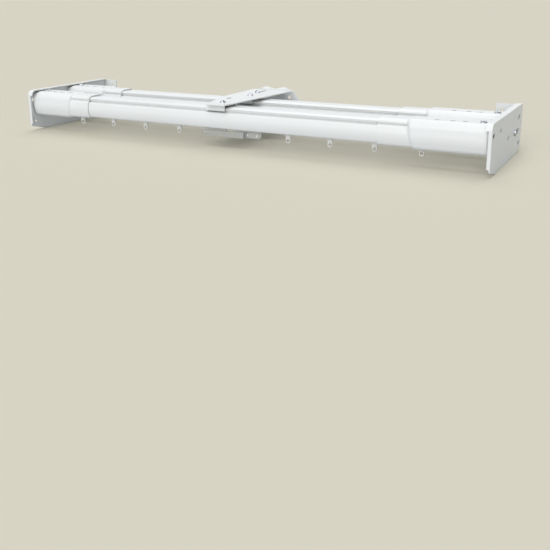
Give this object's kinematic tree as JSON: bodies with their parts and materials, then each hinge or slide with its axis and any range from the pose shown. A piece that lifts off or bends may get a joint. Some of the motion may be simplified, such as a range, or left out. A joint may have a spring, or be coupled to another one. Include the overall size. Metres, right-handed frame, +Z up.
{
  "type": "double corded curtain track",
  "caption": "White double corded curtain track: nested steel rods with grooved fronts between adjustable end brackets, a middle support, end covers, cord pulleys and runners with hook eyes.",
  "frame": {"origin": "on the wall, midway between the two screw holes of the middle support", "axes": "+X along the track to the right as seen from the room, +Y into the wall, +Z up"},
  "size_m": [0.717, 0.175, 0.0659],
  "materials": {
    "white_painted_steel": "smooth white baked enamel",
    "white_nylon": "moulded white nylon",
    "zinc_steel": "bright zinc plate",
    "braided_cord": "braided polyester cord"
  },
  "bodies": {
    "wall_fixings": {"left_wall_base": "white_painted_steel", "left_adjust_screw": "zinc_steel", "centre_wall_base": "white_painted_steel", "centre_adjust_screw": "zinc_steel"},
    "left_section": {"left_side_plate": "white_painted_steel", "left_rod_screws": "zinc_steel", "left_pulley_pins": "zinc_steel", "support_arm": "white_painted_steel", "support_screws": "zinc_steel", "front_outer_rod": "white_painted_steel", "front_left_cover": "white_painted_steel", "front_left_block": "white_nylon", "front_support_clip": "white_painted_steel", "front_draw_cord": "braided_cord", "back_outer_rod": "white_painted_steel", "back_left_cover": "white_painted_steel", "back_left_block": "white_nylon", "back_support_clip": "white_painted_steel", "back_draw_cord": "braided_cord"},
    "right_section": {"right_side_plate": "white_painted_steel", "right_rod_screws": "zinc_steel", "right_pulley_pins": "zinc_steel", "cord_outlets": "white_nylon", "front_inner_rod": "white_painted_steel", "front_right_cover": "white_painted_steel", "front_right_block": "white_nylon", "back_inner_rod": "white_painted_steel", "back_right_cover": "white_painted_steel", "back_right_block": "white_nylon"},
    "right_wall_fixing": {"right_wall_base": "white_painted_steel", "right_adjust_screw": "zinc_steel"},
    "front_right_master": {"front_right_master": "white_nylon", "front_overlap_arm": "zinc_steel"},
    "front_left_master": {"front_left_master": "white_nylon"},
    "front_left_runner_1": {"front_left_runner_1": "white_nylon"},
    "front_left_runner_2": {"front_left_runner_2": "white_nylon"},
    "front_left_runner_3": {"front_left_runner_3": "white_nylon"},
    "front_left_runner_4": {"front_left_runner_4": "white_nylon"},
    "front_right_runner_1": {"front_right_runner_1": "white_nylon"},
    "front_right_runner_2": {"front_right_runner_2": "white_nylon"},
    "front_right_runner_3": {"front_right_runner_3": "white_nylon"},
    "front_right_runner_4": {"front_right_runner_4": "white_nylon"},
    "front_return_pulley": {"front_return_pulley": "white_nylon"},
    "front_upper_pulley": {"front_upper_pulley": "white_nylon"},
    "front_lower_pulley": {"front_lower_pulley": "white_nylon"},
    "back_right_master": {"back_right_master": "white_nylon", "back_overlap_arm": "zinc_steel"},
    "back_left_master": {"back_left_master": "white_nylon"},
    "back_left_runner_1": {"back_left_runner_1": "white_nylon"},
    "back_left_runner_2": {"back_left_runner_2": "white_nylon"},
    "back_left_runner_3": {"back_left_runner_3": "white_nylon"},
    "back_left_runner_4": {"back_left_runner_4": "white_nylon"},
    "back_right_runner_1": {"back_right_runner_1": "white_nylon"},
    "back_right_runner_2": {"back_right_runner_2": "white_nylon"},
    "back_right_runner_3": {"back_right_runner_3": "white_nylon"},
    "back_right_runner_4": {"back_right_runner_4": "white_nylon"},
    "back_return_pulley": {"back_return_pulley": "white_nylon"},
    "back_upper_pulley": {"back_upper_pulley": "white_nylon"},
    "back_lower_pulley": {"back_lower_pulley": "white_nylon"}
  },
  "joints": [
    {"name": "projection_slide", "type": "slide", "parent": "wall_fixings", "child": "left_section", "axis": [0, -1, 0], "range_m": [0, 0.025]},
    {"name": "width_slide", "type": "slide", "parent": "left_section", "child": "right_section", "axis": [1, 0, 0], "range_m": [0, 0.508], "deforming": ["front_draw_cord", "back_draw_cord"]},
    {"name": "right_base_slide", "type": "slide", "parent": "right_section", "child": "right_wall_fixing", "axis": [0, -1, 0], "range_m": [-0.025, 0]},
    {"name": "front_draw", "type": "slide", "parent": "right_section", "child": "front_right_master", "axis": [1, 0, 0], "range_m": [0, 0.18]},
    {"name": "front_left_master_slide", "type": "slide", "parent": "left_section", "child": "front_left_master", "axis": [-1, 0, 0], "range_m": [0, 0.18]},
    {"name": "front_left_runner_1_slide", "type": "slide", "parent": "left_section", "child": "front_left_runner_1", "axis": [-1, 0, 0], "range_m": [0, 0.15069]},
    {"name": "front_left_runner_2_slide", "type": "slide", "parent": "left_section", "child": "front_left_runner_2", "axis": [-1, 0, 0], "range_m": [0, 0.10444]},
    {"name": "front_left_runner_3_slide", "type": "slide", "parent": "left_section", "child": "front_left_runner_3", "axis": [-1, 0, 0], "range_m": [0, 0.0582]},
    {"name": "front_left_runner_4_slide", "type": "slide", "parent": "left_section", "child": "front_left_runner_4", "axis": [-1, 0, 0], "range_m": [0, 0.01196]},
    {"name": "front_right_runner_1_slide", "type": "slide", "parent": "right_section", "child": "front_right_runner_1", "axis": [1, 0, 0], "range_m": [0, 0.15069]},
    {"name": "front_right_runner_2_slide", "type": "slide", "parent": "right_section", "child": "front_right_runner_2", "axis": [1, 0, 0], "range_m": [0, 0.10444]},
    {"name": "front_right_runner_3_slide", "type": "slide", "parent": "right_section", "child": "front_right_runner_3", "axis": [1, 0, 0], "range_m": [0, 0.0582]},
    {"name": "front_right_runner_4_slide", "type": "slide", "parent": "right_section", "child": "front_right_runner_4", "axis": [1, 0, 0], "range_m": [0, 0.01196]},
    {"name": "front_return_pulley_turn", "type": "hinge", "parent": "left_section", "child": "front_return_pulley", "pos_m": [-0.3167, -0.15, -0.0092], "axis": [0, 1, 0], "range_deg": [-2063.1, 0]},
    {"name": "front_upper_pulley_turn", "type": "hinge", "parent": "right_section", "child": "front_upper_pulley", "pos_m": [0.3427, -0.15, -0.0092], "axis": [0, 1, 0], "range_deg": [-2063.1, 0]},
    {"name": "front_lower_pulley_turn", "type": "hinge", "parent": "right_section", "child": "front_lower_pulley", "pos_m": [0.3247, -0.15, -0.0177], "axis": [0, 1, 0], "range_deg": [0, 2947.1]},
    {"name": "back_draw", "type": "slide", "parent": "right_section", "child": "back_right_master", "axis": [1, 0, 0], "range_m": [0, 0.18]},
    {"name": "back_left_master_slide", "type": "slide", "parent": "left_section", "child": "back_left_master", "axis": [-1, 0, 0], "range_m": [0, 0.18]},
    {"name": "back_left_runner_1_slide", "type": "slide", "parent": "left_section", "child": "back_left_runner_1", "axis": [-1, 0, 0], "range_m": [0, 0.15069]},
    {"name": "back_left_runner_2_slide", "type": "slide", "parent": "left_section", "child": "back_left_runner_2", "axis": [-1, 0, 0], "range_m": [0, 0.10444]},
    {"name": "back_left_runner_3_slide", "type": "slide", "parent": "left_section", "child": "back_left_runner_3", "axis": [-1, 0, 0], "range_m": [0, 0.0582]},
    {"name": "back_left_runner_4_slide", "type": "slide", "parent": "left_section", "child": "back_left_runner_4", "axis": [-1, 0, 0], "range_m": [0, 0.01196]},
    {"name": "back_right_runner_1_slide", "type": "slide", "parent": "right_section", "child": "back_right_runner_1", "axis": [1, 0, 0], "range_m": [0, 0.15069]},
    {"name": "back_right_runner_2_slide", "type": "slide", "parent": "right_section", "child": "back_right_runner_2", "axis": [1, 0, 0], "range_m": [0, 0.10444]},
    {"name": "back_right_runner_3_slide", "type": "slide", "parent": "right_section", "child": "back_right_runner_3", "axis": [1, 0, 0], "range_m": [0, 0.0582]},
    {"name": "back_right_runner_4_slide", "type": "slide", "parent": "right_section", "child": "back_right_runner_4", "axis": [1, 0, 0], "range_m": [0, 0.01196]},
    {"name": "back_return_pulley_turn", "type": "hinge", "parent": "left_section", "child": "back_return_pulley", "pos_m": [-0.3167, -0.076, -0.0092], "axis": [0, 1, 0], "range_deg": [-2063.1, 0]},
    {"name": "back_upper_pulley_turn", "type": "hinge", "parent": "right_section", "child": "back_upper_pulley", "pos_m": [0.3427, -0.076, -0.0092], "axis": [0, 1, 0], "range_deg": [-2063.1, 0]},
    {"name": "back_lower_pulley_turn", "type": "hinge", "parent": "right_section", "child": "back_lower_pulley", "pos_m": [0.3247, -0.076, -0.0177], "axis": [0, 1, 0], "range_deg": [0, 2947.1]}
  ],
  "couplings": [
    {"joint": "right_base_slide", "follows": "projection_slide", "ratio": -1},
    {"joint": "front_left_master_slide", "follows": "front_draw", "ratio": 1},
    {"joint": "front_left_runner_1_slide", "follows": "front_draw", "ratio": 0.83716},
    {"joint": "front_left_runner_2_slide", "follows": "front_draw", "ratio": 0.58024},
    {"joint": "front_left_runner_3_slide", "follows": "front_draw", "ratio": 0.32333},
    {"joint": "front_left_runner_4_slide", "follows": "front_draw", "ratio": 0.06641},
    {"joint": "front_right_runner_1_slide", "follows": "front_draw", "ratio": 0.83716},
    {"joint": "front_right_runner_2_slide", "follows": "front_draw", "ratio": 0.58024},
    {"joint": "front_right_runner_3_slide", "follows": "front_draw", "ratio": 0.32333},
    {"joint": "front_right_runner_4_slide", "follows": "front_draw", "ratio": 0.06641},
    {"joint": "front_return_pulley_turn", "follows": "front_draw", "rad_per_m": -200},
    {"joint": "front_upper_pulley_turn", "follows": "front_draw", "rad_per_m": -200},
    {"joint": "front_lower_pulley_turn", "follows": "front_draw", "rad_per_m": 285.71},
    {"joint": "back_left_master_slide", "follows": "back_draw", "ratio": 1},
    {"joint": "back_left_runner_1_slide", "follows": "back_draw", "ratio": 0.83716},
    {"joint": "back_left_runner_2_slide", "follows": "back_draw", "ratio": 0.58024},
    {"joint": "back_left_runner_3_slide", "follows": "back_draw", "ratio": 0.32333},
    {"joint": "back_left_runner_4_slide", "follows": "back_draw", "ratio": 0.06641},
    {"joint": "back_right_runner_1_slide", "follows": "back_draw", "ratio": 0.83716},
    {"joint": "back_right_runner_2_slide", "follows": "back_draw", "ratio": 0.58024},
    {"joint": "back_right_runner_3_slide", "follows": "back_draw", "ratio": 0.32333},
    {"joint": "back_right_runner_4_slide", "follows": "back_draw", "ratio": 0.06641},
    {"joint": "back_return_pulley_turn", "follows": "back_draw", "rad_per_m": -200},
    {"joint": "back_upper_pulley_turn", "follows": "back_draw", "rad_per_m": -200},
    {"joint": "back_lower_pulley_turn", "follows": "back_draw", "rad_per_m": 285.71}
  ]
}
